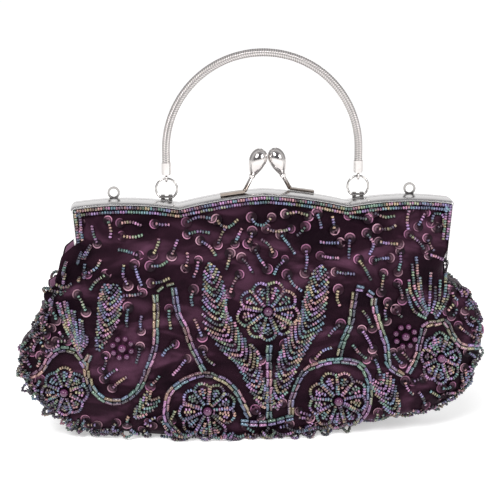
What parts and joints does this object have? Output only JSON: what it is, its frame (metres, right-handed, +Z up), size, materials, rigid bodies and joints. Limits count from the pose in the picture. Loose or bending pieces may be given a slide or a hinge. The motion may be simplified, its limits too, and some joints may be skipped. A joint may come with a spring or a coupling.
{
  "type": "evening clutch",
  "caption": "Beaded satin evening clutch with a hinged metal kiss-lock frame, a stiff snake-chain handle on swinging rings and eyes for a shoulder chain.",
  "frame": {"origin": "a point on the flat base, under the middle of the metal frame", "axes": "+X along the frame to the right as seen from the front, +Y from front to back, +Z up"},
  "size_m": [0.2885, 0.0548, 0.2378],
  "materials": {
    "nickel": "polished nickel plate",
    "satin": "plum satin under beadwork",
    "lining": "plum satin lining",
    "seed_beads": "iridescent glass seed beads, opaque",
    "pearls": "pearl lustre"
  },
  "bodies": {
    "rear_frame": {"rear_frame": "nickel", "hinge_rivets": "nickel", "pouch_body": "satin", "pouch_rear_panel": "satin", "lining": "lining", "bead_edging_rear": "seed_beads", "clasp_arm_right": "nickel", "clasp_collar_right": "nickel", "clasp_ball_right": "nickel", "ring_staple_left": "nickel", "ring_staple_right": "nickel", "loop_guide_left": "nickel", "loop_guide_right": "nickel", "flower_pearls": "pearls", "bead_scrolls": "seed_beads", "bead_leaves": "seed_beads", "bead_flowers": "seed_beads", "pearl_daisies": "pearls", "panel_beads_rear": "seed_beads", "bead_fringe": "seed_beads", "body_sprigs": "seed_beads"},
    "front_frame": {"front_frame": "nickel", "pouch_front_panel": "satin", "bead_edging_front": "seed_beads", "clasp_arm_left": "nickel", "clasp_collar_left": "nickel", "clasp_ball_left": "nickel", "panel_beads_front": "seed_beads"},
    "left_ring": {"ring_left": "nickel"},
    "right_ring": {"ring_right": "nickel"},
    "handle": {"eyelet_left": "nickel", "eyelet_right": "nickel", "ferrule_left": "nickel", "ferrule_right": "nickel", "handle_chain": "nickel"},
    "left_chain_loop": {"chain_loop_left": "nickel"},
    "right_chain_loop": {"chain_loop_right": "nickel"}
  },
  "joints": [
    {"name": "frame_hinge", "type": "hinge", "parent": "rear_frame", "child": "front_frame", "pos_m": [0, 0, 0.104], "axis": [1, 0, 0], "range_deg": [0, 80], "deforming": ["pouch_front_panel", "panel_beads_front"]},
    {"name": "left_ring_swing", "type": "hinge", "parent": "rear_frame", "child": "left_ring", "pos_m": [-0.0585, 0.00416, 0.14889], "axis": [1, 0, 0], "range_deg": [-75, 70]},
    {"name": "right_ring_swing", "type": "hinge", "parent": "rear_frame", "child": "right_ring", "pos_m": [0.0585, 0.00416, 0.14889], "axis": [1, 0, 0], "range_deg": [-75, 70]},
    {"name": "handle_swing", "type": "hinge", "parent": "left_ring", "child": "handle", "pos_m": [-0.0585, 0.00416, 0.16019], "axis": [1, 0, 0], "range_deg": [-80, 30]},
    {"name": "left_loop_slide", "type": "slide", "parent": "rear_frame", "child": "left_chain_loop", "axis": [0, 0, 1], "range_m": [-0.006, 0]},
    {"name": "right_loop_slide", "type": "slide", "parent": "rear_frame", "child": "right_chain_loop", "axis": [0, 0, 1], "range_m": [-0.006, 0]}
  ],
  "couplings": [
    {"joint": "right_ring_swing", "follows": "left_ring_swing", "ratio": 1}
  ]
}
